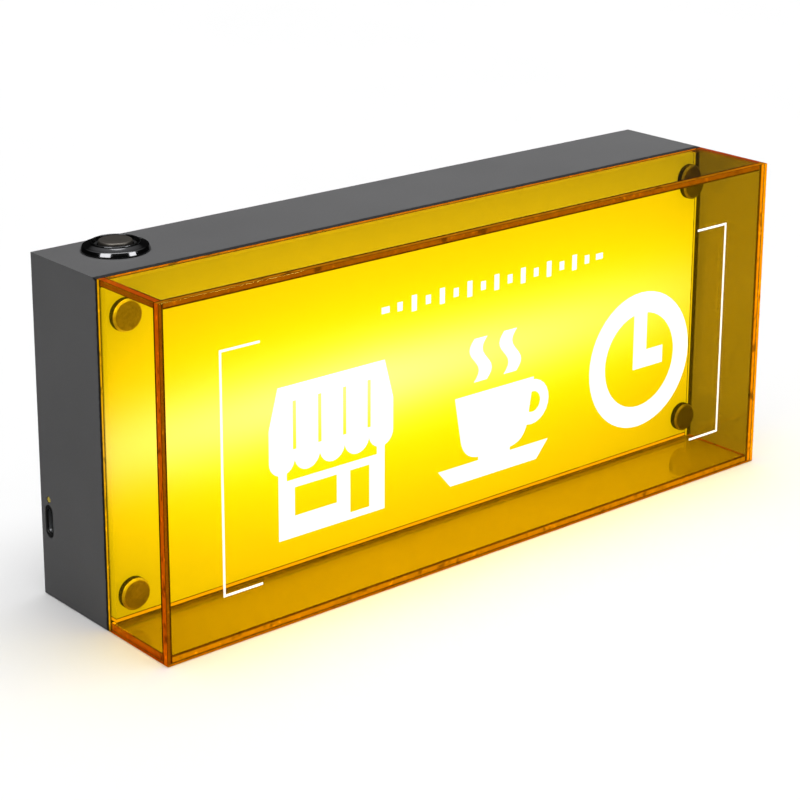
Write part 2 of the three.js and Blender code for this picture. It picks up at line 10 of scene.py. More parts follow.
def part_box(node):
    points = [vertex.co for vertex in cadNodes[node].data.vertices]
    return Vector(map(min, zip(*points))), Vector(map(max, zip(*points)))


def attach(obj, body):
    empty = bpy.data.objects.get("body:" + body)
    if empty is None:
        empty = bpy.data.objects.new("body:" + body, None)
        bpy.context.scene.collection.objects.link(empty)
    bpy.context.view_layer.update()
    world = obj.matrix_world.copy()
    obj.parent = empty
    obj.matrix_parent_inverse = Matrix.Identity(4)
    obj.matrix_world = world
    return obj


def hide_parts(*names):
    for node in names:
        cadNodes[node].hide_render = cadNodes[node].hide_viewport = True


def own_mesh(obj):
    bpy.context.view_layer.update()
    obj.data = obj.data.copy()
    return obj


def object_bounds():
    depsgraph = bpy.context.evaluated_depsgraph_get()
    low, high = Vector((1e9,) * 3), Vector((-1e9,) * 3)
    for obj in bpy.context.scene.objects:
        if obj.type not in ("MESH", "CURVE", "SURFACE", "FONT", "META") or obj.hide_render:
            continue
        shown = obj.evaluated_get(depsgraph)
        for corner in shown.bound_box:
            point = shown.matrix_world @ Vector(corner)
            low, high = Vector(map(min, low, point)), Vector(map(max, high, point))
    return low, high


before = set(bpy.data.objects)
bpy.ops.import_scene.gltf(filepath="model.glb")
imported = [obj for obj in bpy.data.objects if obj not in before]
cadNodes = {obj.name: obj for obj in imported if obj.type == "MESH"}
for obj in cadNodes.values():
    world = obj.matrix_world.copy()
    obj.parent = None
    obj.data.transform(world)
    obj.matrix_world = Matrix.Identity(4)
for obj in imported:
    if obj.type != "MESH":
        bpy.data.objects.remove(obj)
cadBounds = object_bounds()
mm = 0.001
frontLow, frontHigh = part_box("cover_front")
endX = frontHigh.x / mm  # half the sign's length
frontY = frontLow.y / mm
middleZ = frontHigh.z / mm / 2
sheetDepth = (frontHigh.y - frontLow.y) / mm


# Shader maths

class Wire:  # one output socket; + - * / ** on it add Math nodes
    def __init__(self, surface, socket):
        self.surface = surface
        self.socket = socket

    def maths(self, operation, *values, clamp=False):
        settings = {"operation": operation, "use_clamp": clamp}
        return self.surface.node("ShaderNodeMath", settings, dict(enumerate(values)))

    def __add__(self, other):
        return self.maths("ADD", self, other)

    def __radd__(self, other):
        return self.maths("ADD", other, self)

    def __sub__(self, other):
        return self.maths("SUBTRACT", self, other)

    def __rsub__(self, other):
        return self.maths("SUBTRACT", other, self)

    def __mul__(self, other):
        return self.maths("MULTIPLY", self, other)

    def __rmul__(self, other):
        return self.maths("MULTIPLY", other, self)

    def __truediv__(self, other):
        return self.maths("DIVIDE", self, other)

    def __rtruediv__(self, other):
        return self.maths("DIVIDE", other, self)

    def __pow__(self, other):
        return self.maths("POWER", self, other)

    def __rpow__(self, other):
        return self.maths("POWER", other, self)

    def size(self):
        return self.maths("ABSOLUTE", self)

    def least(self, other):
        return self.maths("MINIMUM", self, other)

    def most(self, other):
        return self.maths("MAXIMUM", self, other)

    def step(self, low, high, start=0.0, end=1.0):  # start below low, a smooth rise, end above high
        settings = {"interpolation_type": "SMOOTHSTEP"}
        values = {"Value": self, "From Min": low, "From Max": high, "To Min": start, "To Max": end}
        return self.surface.node("ShaderNodeMapRange", settings, values)


class Surface:  # the nodes of one material, or of the world
    def __init__(self, name, world=None):
        self.owner = world or bpy.data.materials.new(name)
        self.owner.use_nodes = True
        self.tree = self.owner.node_tree
        self.tree.nodes.clear()
        if world is None:
            seen = self.node("ShaderNodeTexCoord", output="Object")
            self.place = self.scaled(seen, 1 / mm)  # in millimetres

    def node(self, kind, settings=None, inputs=None, output=0):
        made = self.tree.nodes.new(kind)
        for name, value in (settings or {}).items():
            if name == "stops":
                self.setStops(made.color_ramp, value)
            else:
                setattr(made, name, value)
        for name, value in (inputs or {}).items():
            self.feed(made.inputs[name], value)
        return Wire(self, made.outputs[output])

    def setStops(self, ramp, stops):
        while len(ramp.elements) < len(stops):
            ramp.elements.new(1.0)
        for element, (position, colour) in zip(ramp.elements, stops):
            element.position = position
            element.color = (*colour, 1.0)

    def feed(self, socket, value):
        if isinstance(value, Wire):
            self.tree.links.new(value.socket, socket)
        elif isinstance(value, tuple) and socket.type == "RGBA":
            socket.default_value = (*value, 1.0)
        else:
            socket.default_value = value

    def parts(self):  # x, y and z in millimetres
        split = self.node("ShaderNodeSeparateXYZ", inputs={0: self.place})
        return [Wire(self, output) for output in split.socket.node.outputs]

    def spread(self, stretch, turn=(0, 0, 0)):  # the place, stretched and turned
        inputs = {"Vector": self.place, "Scale": stretch, "Rotation": turn}
        return self.node("ShaderNodeMapping", inputs=inputs)

    def noise(self, size, detail=2.0, at=None):  # 0 to 1, with lumps of this size in millimetres
        inputs = {"Vector": at or self.place, "Scale": 1 / size, "Detail": detail}
        return self.node("ShaderNodeTexNoise", inputs=inputs)

    def mix(self, share, first, second):
        return self.node("ShaderNodeMix", {"data_type": "RGBA"}, {0: share, 6: first, 7: second}, output=2)

    def scaled(self, colour, by):
        return self.node("ShaderNodeVectorMath", {"operation": "SCALE"}, {0: colour, "Scale": by})

    def bump(self, height, depth):  # height of 0 to 1 stands for this depth in millimetres
        inputs = {"Height": height, "Distance": depth * mm, "Strength": 1.0}
        return self.node("ShaderNodeBump", inputs=inputs)

    def principled(self, **inputs):
        names = {name.replace("_", " "): value for name, value in inputs.items()}
        return self.node("ShaderNodeBsdfPrincipled", inputs=names)

    def blend(self, share, first, second):
        return self.node("ShaderNodeMixShader", inputs={0: share, 1: first, 2: second})

    def finish(self, shader, volume=None, kind="ShaderNodeOutputMaterial"):
        made = self.tree.nodes.new(kind)
        self.feed(made.inputs["Surface"], shader)
        if volume is not None:
            self.feed(made.inputs["Volume"], volume)
        return self.owner


# Shapes

def meshPiece(name, points, faces, smooth=True):  # points is an (n, 3) array, faces a list of index lists
    mesh = bpy.data.meshes.new(name)
    mesh.from_pydata(points.tolist(), [], faces)
    mesh.update()
    mesh.polygons.foreach_set("use_smooth", np.full(len(mesh.polygons), smooth))
    piece = bpy.data.objects.new(name, mesh)
    bpy.context.scene.collection.objects.link(piece)
    return piece


def tidyMesh(mesh, reach=1e-7):  # merges doubles, drops what collapses and turns all faces outward
    work = bmesh.new()
    work.from_mesh(mesh)
    bmesh.ops.remove_doubles(work, verts=work.verts, dist=reach)
    bmesh.ops.dissolve_degenerate(work, edges=work.edges, dist=reach)
    bmesh.ops.recalc_face_normals(work, faces=work.faces)
    work.to_mesh(mesh)
    work.free()


def gridPiece(name, grid, endless=(False, True)):
    # quad (u, v) joins the points at (u, v), (u + 1, v), (u + 1, v + 1) and (u, v + 1); an endless way wraps
    rows, columns = grid.shape[:2]
    u = np.arange(rows - (not endless[0]))[:, None]
    v = np.arange(columns - (not endless[1]))[None, :]
    nextU = (u + 1) % rows
    nextV = (v + 1) % columns
    index = [u * columns + v, nextU * columns + v, nextU * columns + nextV, u * columns + nextV]
    quads = np.stack([np.broadcast_to(part, (u.size, v.size)) for part in index], -1).reshape(-1, 4)
    piece = meshPiece(name, grid.reshape(-1, 3), quads.tolist())
    tidyMesh(piece.data)
    return piece


def softCorners(corners, radius, steps=5):
    # each inner corner c becomes (1 - t)^2 a + 2 t (1 - t) c + t^2 b; a and b lie radius away on its sides
    corners = np.array(corners, float)
    middle = corners[1:-1]
    sides = [corners[:-2] - middle, corners[2:] - middle]
    ends = []
    for side in sides:
        length = np.linalg.norm(side, axis=1, keepdims=True)
        ends.append(middle + side / length * np.minimum(radius, 0.45 * length))
    t = np.linspace(0, 1, steps)[None, :, None]
    arcs = (1 - t) ** 2 * ends[0][:, None] + 2 * t * (1 - t) * middle[:, None] + t**2 * ends[1][:, None]
    return np.vstack([corners[:1], arcs.reshape(-1, 2), corners[-1:]])


def turnedPiece(name, outline, centre, along="z", sides=96, closed=False):
    # a point (r, h) of the outline goes to r cos a, r sin a beside the axis and h along it, a from 0 to 2 pi
    angle = np.linspace(0, 2 * math.pi, sides, endpoint=False)[None, :]
    radius = outline[:, :1] * mm
    height = np.broadcast_to(outline[:, 1:] * mm, (len(outline), sides))
    across = [radius * np.cos(angle), radius * np.sin(angle)]
    order = {"z": (across[0], across[1], height), "y": (across[0], height, across[1])}[along]
    grid = np.stack(order, -1) + np.array(centre)
    return gridPiece(name, grid, (closed, True))


def edgeBevel(piece, width, segments=3, angle=30.0):
    bevel = piece.modifiers.new("edges", "BEVEL")
    bevel.width = width * mm
    bevel.segments = segments
    bevel.limit_method = "ANGLE"
    bevel.angle_limit = math.radians(angle)
    bevel.harden_normals = bool(piece.data.polygons[0].use_smooth)
    bevel.use_clamp_overlap = True


def bevelledCopy(node, name, width, segments=3, smooth=True):
    # a CAD node's own shape, its flat faces joined and its sharp edges rounded
    work = bmesh.new()
    work.from_mesh(cadNodes[node].data)
    bmesh.ops.remove_doubles(work, verts=work.verts, dist=1e-6)
    bmesh.ops.dissolve_limit(work, angle_limit=math.radians(1.0), verts=work.verts, edges=work.edges)
    work.verts.index_update()
    points = np.array([corner.co for corner in work.verts])
    faces = [[corner.index for corner in face.verts] for face in work.faces]
    work.free()
    piece = meshPiece(name, points, faces, smooth)
    edgeBevel(piece, width, segments)
    return piece


def mount(piece, body, slot, material, *replaced):  # replaced: the CAD nodes that the piece stands for
    piece.data.materials.append(material)
    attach(piece, body)
    if replaced:
        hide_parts(*replaced)


def coat(material, *nodes):  # gives CAD nodes a finish
    for node in nodes:
        cadNodes[node].data.materials.clear()
        cadNodes[node].data.materials.append(material)


def middleOf(node):
    low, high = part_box(node)
    return (low + high) / 2


# Finishes

def powderCoatSurface():
    # colour = grey x (1 + small wide and fine variation) x ragged line of painted shade at the seam, wider
    # on the top, x a painted light rise from left to right; bump = fine orange peel + finer grain
    settings = {"grey": (0.112, 0.112, 0.114), "peelSize": 0.55, "grainSize": 0.16, "peelDepth": 0.02,
                "leftPaintedLightTone": 0.95, "rightPaintedLightTone": 1.12}
    # the painted shade line along the seam: where it starts and ends, its tone, raggedness and widening on
    # top
    line = {"start": -1.9, "end": -1.45, "tone": 0.12, "ragged": 0.9, "lumps": 1.6, "moreOnTop": 1.3}
    s = Surface("powderCoat")
    wide = s.noise(38, 3)
    peel = s.noise(settings["peelSize"], 2)
    grain = s.noise(settings["grainSize"], 1)
    x, y, z = s.parts()
    onTop = z.step(2 * middleZ - 1.0, 2 * middleZ - 0.4)
    wavering = y - line["moreOnTop"] * onTop + line["ragged"] * (s.noise(line["lumps"], 2) - 0.5)
    # painted shade: a ragged dark line along the seam, wider on the top
    paintedSeamShade = wavering.step(line["start"], line["end"], line["tone"], 1.0)
    # painted light: the coat gets lighter from left to right
    rise = x.step(-endX, endX, settings["leftPaintedLightTone"], settings["rightPaintedLightTone"])
    colour = s.scaled(settings["grey"], (0.86 + 0.2 * wide + 0.16 * grain) * paintedSeamShade * rise)
    height = peel * 0.7 + grain * 0.3
    roughness = 0.4 + 0.1 * peel + 0.08 * wide
    normal = s.bump(height, settings["peelDepth"])
    shader = s.principled(Base_Color=colour, Roughness=roughness, Normal=normal, Specular_IOR_Level=0.45)
    return s.finish(shader)


def bandMask(value, low, high, soft):  # 1 between low and high, with soft borders, else 0
    return value.step(low - soft, low + soft) * value.step(high - soft, high + soft, 1.0, 0.0)


def glowSurface():
    # glow = warm x (base + band) x arch x rim + white x core, with arch = 1 - drop |x / half|^3, band and
    # core both exp(-(rise / reach)^2) about the brightest height, and rim a smooth step near the edges
    settings = {"barZ": 68.0, "bandReach": 35.0, "coreReach": 12.7, "halfLength": 148.0, "archDrop": 0.28,
                "base": 0.58, "band": 0.64, "core": 0.62, "coreMiddle": -30.0, "coreDrop": 0.75,
                "rimStart": 2.0, "rimDepth": 9.0, "rimTone": 0.92, "warm": (1.8, 1.58, 0.01),
                "white": (0.8, 0.9, 8.0)}
    # the lines along the foot and the right end: from, to and how soft
    lines = {"foot": (3.75, 4.95, 0.12), "footPaintedShade": (3.0, 5.25, 0.12), "strip": (143.2, 144.1, 0.12),
             "bar": (142.95, 143.15), "ragged": 0.4, "footGlow": (1.6, 0.78, 0.0),
             "endGlow": (1.35, 1.1, 0.02), "lightBase": (0.75, 0.66, 0.4), "darkBase": (0.08, 0.06, 0.02)}
    s = Surface("opalGlow")
    x, y, z = s.parts()
    rise = (z - settings["barZ"]).size()
    band = math.e ** (-1 * (rise / settings["bandReach"]) ** 2.0)
    core = math.e ** (-1 * (rise / settings["coreReach"]) ** 2.0)
    along = (x / settings["halfLength"]).size() ** 3.0
    arch = 1.0 - settings["archDrop"] * along
    toRim = (middleZ - (z - middleZ).size()).least(endX - x.size())
    rim = toRim.step(settings["rimStart"], settings["rimDepth"], settings["rimTone"], 1.0)
    mottle = 0.98 + 0.04 * s.noise(26, 2)
    even = (settings["base"] + settings["band"] * band) * arch * rim * mottle
    fromMiddle = ((x - settings["coreMiddle"]) / settings["halfLength"]).size()
    bright = settings["core"] * core * (1.0 - settings["coreDrop"] * fromMiddle)
    warm = s.scaled(settings["warm"], even)
    white = s.scaled(settings["white"], bright * mottle)
    face = s.node("ShaderNodeVectorMath", {"operation": "ADD"}, {0: warm, 1: white})
    # along the foot a bright sawn line stands between two lines of painted shade;
    # the right end closes in a dark bar
    strip = bandMask(x, *lines["strip"])
    barDark = (x + lines["ragged"] * s.noise(3, 3)).step(*lines["bar"])
    foot = bandMask(z, *lines["foot"]) * (1.0 - barDark)
    # painted shade: the dark lines along the foot
    footPaintedShade = bandMask(z, *lines["footPaintedShade"])
    closed = footPaintedShade.most(barDark)
    ends = s.mix(strip, s.scaled(lines["footGlow"], foot), lines["endGlow"])
    glow = s.mix(closed, face, ends)
    base = s.mix(closed, lines["lightBase"], lines["darkBase"])
    grain = s.noise(0.3, 2)
    normal = s.bump(grain, 0.004)
    shader = s.principled(Base_Color=base, Roughness=0.35 + 0.1 * grain, Normal=normal,
                          Emission_Color=glow, Emission_Strength=1.0)
    return s.finish(shader)


# the bottom sheet's tint is lighter than the others as painted light, the right sheet's darker as painted
# shade
acrylic = {"tint": (0.66, 0.54, 0.5), "footPaintedLightTint": (0.86, 0.78, 0.55), "rightPaintedShadeTint": (0.48, 0.37, 0.5),
           "faceShare": (0.93, 0.92, 0.7), "perMetre": 1000.0, "passes": (0.997, 0.975, 0.35), "ior": 1.49,
           "gloss": (0.8, 0.66, 0.05)}


def acrylicGlass(s, roughness, tint=acrylic["tint"]):
    # clear yellow glass with faint long scratches
    scratches = s.noise(0.8, 3, at=s.spread((0.08, 1.0, 1.4), (0.3, 0.5, 0.2)))
    return s.principled(Base_Color=tint, Roughness=roughness, IOR=acrylic["ior"], Transmission_Weight=1.0,
                        Specular_Tint=acrylic["gloss"], Normal=s.bump(scratches, 0.0006))


def acrylicFinish(s, shader):
    # the volume takes blue, then green; lamps and diffuse light pass straight and light what is inside
    clear = s.node("ShaderNodeBsdfTransparent", inputs={"Color": acrylic["faceShare"]})
    path = s.node("ShaderNodeLightPath", output="Is Shadow Ray")
    diffuse = Wire(s, path.socket.node.outputs["Is Diffuse Ray"])
    taken = {"Color": acrylic["passes"], "Density": acrylic["perMetre"]}
    inside = s.node("ShaderNodeVolumeAbsorption", inputs=taken)
    return s.finish(s.blend(path.most(diffuse), shader, clear), inside)


def acrylicSurface(name, tint):
    s = Surface(name)
    return acrylicFinish(s, acrylicGlass(s, 0.01, tint))


def sawnEdgeSurface(name, colour, across, innerLine=0.0):
    # a sawn end gets a painted glow for the light the sheet gathers:
    # glow = colour x (saw streaks + flecks) x glue lines x dark clots;
    # a glue line darkens the first third of a millimetre from each face, innerLine more from the inner one
    s = Surface(name)
    line = {"width": 0.34, "soft": 0.22, "least": 0.1, "ragged": 0.5, "clotTone": 0.3, "glowShare": 0.85}
    x, y, z = s.parts()
    saw = s.noise(0.7, 3, at=s.spread((0.22, 1.0, 0.22)))
    flecks = s.noise(1.3, 2, at=s.spread((0.5, 1.0, 0.5))).step(0.6, 0.72, 0.0, 0.8)
    blotch = s.noise(2.2, 3, at=s.spread((0.35, 1.0, 0.35)))
    toOuter = {"x": endX - x.size(), "y": y - frontY, "z": middleZ - (z - middleZ).size()}[across]
    toLine = (sheetDepth - innerLine - toOuter).least(toOuter)
    ragged = toLine + line["ragged"] * (blotch - 0.5)
    glue = ragged.step(line["width"] - line["soft"], line["width"] + line["soft"], line["least"], 1.0)
    clot = blotch.step(0.56, 0.7, 1.0, line["clotTone"])
    glow = s.scaled(colour, glue * clot * (0.62 + 0.7 * saw + flecks))
    # painted glow of the sawn end
    paintedEdgeGlow = s.node("ShaderNodeEmission", inputs={"Color": glow, "Strength": 1.0})
    return acrylicFinish(s, s.blend(line["glowShare"], acrylicGlass(s, 0.25), paintedEdgeGlow))


def vinylSurface():
    # white film with a painted glow, as if lit a little from behind; fine grain in its gloss
    s = Surface("whiteVinyl")
    grain = s.noise(0.25, 2)
    tone = s.scaled((0.9, 0.9, 0.9), 0.97 + 0.05 * grain)
    shader = s.principled(Base_Color=tone, Roughness=0.35 + 0.15 * grain, Normal=s.bump(grain, 0.003),
                          Emission_Color=(1.0, 1.0, 0.98), Emission_Strength=0.55)
    return s.finish(shader)


def turnedSteelSurface(name, colour, axisX, axisZ, shoulderY):
    # tone = colour x (rings + wide and small blotches), the rings noise along r, the distance from the axis;
    # the chamfer, a step in r, gets a painted highlight, and behind the shoulder the side is darkened by
    # painted shade
    settings = {"ringScale": 6.0, "sidePaintedShade": 0.97, "chamferFrom": (5.15, 5.3), "chamferPaintedHighlight": 1.2}
    s = Surface(name)
    x, y, z = s.parts()
    radius = ((x - axisX) ** 2 + (z - axisZ) ** 2) ** 0.5
    rings = {"W": radius, "Scale": settings["ringScale"], "Detail": 3.0}
    streaks = s.node("ShaderNodeTexNoise", {"noise_dimensions": "1D"}, rings)
    wide = s.noise(3.0, 2)
    blotch = s.noise(1.1, 3)
    # painted shade: the side behind the shoulder is darkened
    side = y.step(shoulderY - 0.05, shoulderY + 0.1)
    # painted highlight: the chamfer is brightened
    chamfer = radius.step(*settings["chamferFrom"]) * (1.0 - side)
    texture = 0.1 + 0.5 * streaks + 0.5 * wide + 0.8 * blotch
    paintedShadeAndHighlight = (1.0 - settings["sidePaintedShade"] * side) * (1.0 + settings["chamferPaintedHighlight"] * chamfer)
    tone = s.scaled(colour, texture * paintedShadeAndHighlight)
    return s.finish(s.principled(Base_Color=tone, Metallic=1.0 - 0.3 * side, Normal=s.bump(streaks, 0.006),
                                 Roughness=0.34 + 0.14 * streaks + 0.3 * side))


def metalSurface(name, colour, roughness, lumps=0.5, depth=0.004, metallic=1.0):
    # plated or drawn metal: tone and gloss vary with wide and fine noise
    s = Surface(name)
    wide = s.noise(6, 3)
    fine = s.noise(lumps, 2)
    tone = s.scaled(colour, 0.86 + 0.2 * wide + 0.08 * fine)
    gloss = roughness - 0.05 + 0.12 * fine
    normal = s.bump(fine, depth)
    return s.finish(s.principled(Base_Color=tone, Metallic=metallic, Roughness=gloss, Normal=normal))


def mouldedSurface(name, colour, roughness, grainSize=0.2, depth=0.01):
    # moulded plastic or rubber: spark-eroded grain in tone, gloss and height
    s = Surface(name)
    grain = s.noise(grainSize, 2)
    wide = s.noise(9, 2)
    tone = s.scaled(colour, 0.85 + 0.2 * wide + 0.15 * grain)
    return s.finish(s.principled(Base_Color=tone, Roughness=roughness - 0.06 + 0.14 * grain,
                                 Normal=s.bump(grain, depth)))


def floorSurface():
    # pale paper with a faint wide variation
    s = Surface("paleFloor")
    wide = s.noise(260, 3)
    tooth = s.noise(1.6, 2)
    tone = s.scaled((0.87, 0.87, 0.87), 0.985 + 0.03 * wide)
    shader = s.principled(Base_Color=tone, Roughness=0.9, Specular_IOR_Level=0.1, Normal=s.bump(tooth, 0.02))
    return s.finish(shader)


powderCoat = powderCoatSurface()
opalGlow = glowSurface()
yellowAcrylic = acrylicSurface("yellowAcrylic", acrylic["tint"])
footPaintedLightAcrylic = acrylicSurface("footPaintedLightAcrylic", acrylic["footPaintedLightTint"])
rightPaintedShadeAcrylic = acrylicSurface("rightPaintedShadeAcrylic", acrylic["rightPaintedShadeTint"])
whiteVinyl = vinylSurface()
blackGloss = metalSurface("blackGloss", (0.085, 0.085, 0.088), 0.1, 0.8, 0.0008, 1.0)
buttonSatin = metalSurface("buttonSatin", (0.1, 0.09, 0.078), 0.4, 0.15, 0.004, 0.7)
blackPlastic = mouldedSurface("blackPlastic", (0.012, 0.012, 0.012), 0.38)
blackRubber = mouldedSurface("blackRubber", (0.02, 0.02, 0.02), 0.75, 0.3, 0.02)
zincSteel = metalSurface("zincSteel", (0.55, 0.56, 0.57), 0.35)
blackScrew = metalSurface("blackScrew", (0.03, 0.03, 0.032), 0.38, 0.3, 0.003, 0.8)
brass = metalSurface("brass", (0.62, 0.45, 0.18), 0.3, 0.4, 0.004)
aluminium = metalSurface("aluminium", (0.75, 0.76, 0.78), 0.38, 0.4, 0.004)
whiteSheet = mouldedSurface("whiteSheet", (0.85, 0.85, 0.83), 0.6, 0.4, 0.004)
boardGreen = mouldedSurface("boardGreen", (0.02, 0.12, 0.05), 0.35, 0.5, 0.006)
cellWrap = mouldedSurface("cellWrap", (0.04, 0.16, 0.33), 0.32, 0.8, 0.004)
amberLens = mouldedSurface("amberLens", (0.55, 0.42, 0.06), 0.25, 0.4, 0.002)
leadRed = mouldedSurface("leadRed", (0.4, 0.025, 0.018), 0.45, 0.3, 0.006)
print("finishes made")


# Camera, lamps and floor

view = {"place": (-538.2, -616.9, 348.9), "heading": 40.39, "pitch": 16.15, "roll": 0.25, "lens": 100.4,
        "shift": -0.1875}


def makeCamera():
    # forward = (sin h cos p, cos h cos p, -sin p); right = (cos h, -sin h, 0), turned by the roll
    heading, pitch, roll = (math.radians(view[name]) for name in ("heading", "pitch", "roll"))
    ahead = Vector((math.sin(heading), math.cos(heading), 0.0))
    forward = ahead * math.cos(pitch) - Vector((0.0, 0.0, math.sin(pitch)))
    level = Vector((math.cos(heading), -math.sin(heading), 0.0))
    upright = level.cross(forward)
    right = level * math.cos(roll) + upright * math.sin(roll)
    up = upright * math.cos(roll) - level * math.sin(roll)
    data = bpy.data.cameras.new("camera")
    data.lens = view["lens"]
    data.shift_y = view["shift"]
    camera = bpy.data.objects.new("camera", data)
    turn = Matrix((right, up, -forward)).transposed()
    camera.matrix_world = Matrix.Translation(Vector(view["place"]) * mm) @ turn.to_4x4()
    bpy.context.scene.collection.objects.link(camera)
    bpy.context.scene.camera = camera


def softbox(name, direction, distance, size, watts):
    # an area lamp on the ray from the sign's middle, facing it; it shows only in glossy surfaces
    middle = (cadBounds[0] + cadBounds[1]) / 2
    away = Vector(direction).normalized()
    lamp = bpy.data.lights.new(name, "AREA")
    lamp.shape = "RECTANGLE"
    lamp.size, lamp.size_y = size
    lamp.energy = watts
    light = bpy.data.objects.new(name, lamp)
    light.location = middle + away * distance
    light.rotation_euler = away.to_track_quat("Z", "Y").to_euler()
    light.visible_diffuse = False
    light.visible_transmission = False
    bpy.context.scene.collection.objects.link(light)


def makeSky():
    # brightness by the height of the direction, 0 at the horizon and 1 overhead: nearly dark up to the rise,
    # then an even climb to the zenith
    sky = {"foot": 0.01, "low": 0.02, "rise": 0.5, "zenith": 1.0}
    world = bpy.data.worlds.new("studio")
    s = Surface("studio", world)
    direction = s.node("ShaderNodeTexCoord", output="Generated")
    height = s.node("ShaderNodeSeparateXYZ", inputs={0: direction}, output="Z")
    levels = ((0.0, sky["foot"]), (sky["rise"], sky["low"]), (1.0, sky["zenith"]))
    stops = [(position, (level, level, level)) for position, level in levels]
    tone = s.node("ShaderNodeValToRGB", {"stops": stops}, {0: height})
    s.finish(s.node("ShaderNodeBackground", inputs={"Color": tone}), kind="ShaderNodeOutputWorld")
    bpy.context.scene.world = world


def makeStudio():
    studio = {"floorReach": 5.0, "floorFlat": 0.7, "floorCurl": 1.2, "floorDrop": 0.2, "sunWatts": 2.2,
              "sunSpread": 50.0, "sunTilt": (4.0, 4.0), "glintDistance": 1.0}
    glints = {"leftGlint": ((-0.958, -0.286, 0.62), (0.5, 0.4), 6.0),  # direction, size and watts
              "frontGlint": ((0.352, -0.936, 0.62), (0.4, 0.4), 5.0)}
    makeSky()
    bpy.context.scene.view_settings.view_transform = "Standard"
    sun = bpy.data.lights.new("topSun", "SUN")  # a wide overhead diffuser, even over the whole floor
    sun.energy = studio["sunWatts"]
    sun.angle = math.radians(studio["sunSpread"])
    light = bpy.data.objects.new("topSun", sun)
    light.rotation_euler = (*np.radians(studio["sunTilt"]), 0.0)
    bpy.context.scene.collection.objects.link(light)
    for name, (direction, size, watts) in glints.items():
        softbox(name, direction, studio["glintDistance"], size, watts)
    # floor: r from 0 to 1 of the reach; flat, then h = curl x ((r - flat) / (1 - flat))^2
    r = np.concatenate([[0.0], np.linspace(0.2, 1.0, 24)])
    past = np.maximum(r - studio["floorFlat"], 0.0) / (1.0 - studio["floorFlat"])
    outline = np.stack([r * studio["floorReach"], studio["floorCurl"] * past**2], -1) / mm
    floor = turnedPiece("floor", outline, (0, 0, cadBounds[0].z - studio["floorDrop"] * mm), sides=64)
    floor.data.materials.append(floorSurface())
    floor.visible_glossy = False


makeCamera()
makeStudio()
print("camera, lamps and floor made")


# Housing and its plates

housing = bevelledCopy("housing_shell", "housingShell", 0.7, 4)
mount(housing, "housing", "grey_steel", powderCoat, "housing_shell")
rearPlate = bevelledCopy("rear_cover", "rearPlate", 0.3)
mount(rearPlate, "housing", "grey_steel", powderCoat, "rear_cover")
panel = bevelledCopy("light_panel", "glowPanel", 0.25)
mount(panel, "housing", "opal_acrylic", opalGlow, "light_panel")
print("housing made")


# Cap screws: a flat cap with a chamfered edge on a threaded stud

capScrew = {"radius": 6.0, "height": 3.0, "chamfer": 0.8, "edge": 0.12, "studRadius": 2.0,
            "studLength": 14.0, "studEnd": 0.6, "studTip": 0.5, "leftPaintedLightTone": (0.5, 0.41, 0.3),
            "rightPaintedLightTone": (0.22, 0.19, 0.15)}


def makeCapScrew(side):
    node = f"cap_screw_{side}"
    low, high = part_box(node)
    x, z = (low.x + high.x) / 2, (low.z + high.z) / 2
    c = capScrew
    corners = [
        (0.0, 0.0),
        (c["radius"] - c["chamfer"], 0.0),
        (c["radius"], c["chamfer"]),
        (c["radius"], c["height"]),
        (c["studRadius"], c["height"]),
        (c["studRadius"], c["height"] + c["studLength"] - c["studEnd"]),
        (c["studRadius"] - c["studTip"], c["height"] + c["studLength"]),
        (0.0, c["height"] + c["studLength"]),
    ]
    piece = turnedPiece(f"capScrew_{side}", softCorners(corners, c["edge"]), (x, low.y, z), "y")
    # painted light and shade: a lighter tone for the left caps, a darker one for the right caps
    tone = c["leftPaintedLightTone"] if x < 0 else c["rightPaintedLightTone"]
    shoulder = low.y / mm + c["chamfer"]
    steel = turnedSteelSurface(f"capSteel_{side}", tone, x / mm, z / mm, shoulder)
    mount(piece, "housing", "cap_steel", steel, node)


for side in ("top_left", "top_right", "bottom_left", "bottom_right"):
    makeCapScrew(side)
print("cap screws made")


# Push-button switch; its outlines are (radius, height above the housing's top) in millimetres

switch = {"facets": 160}
switchMiddle = middleOf("switch_body")
switchAt = (switchMiddle.x, switchMiddle.y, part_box("housing_shell")[1].z)


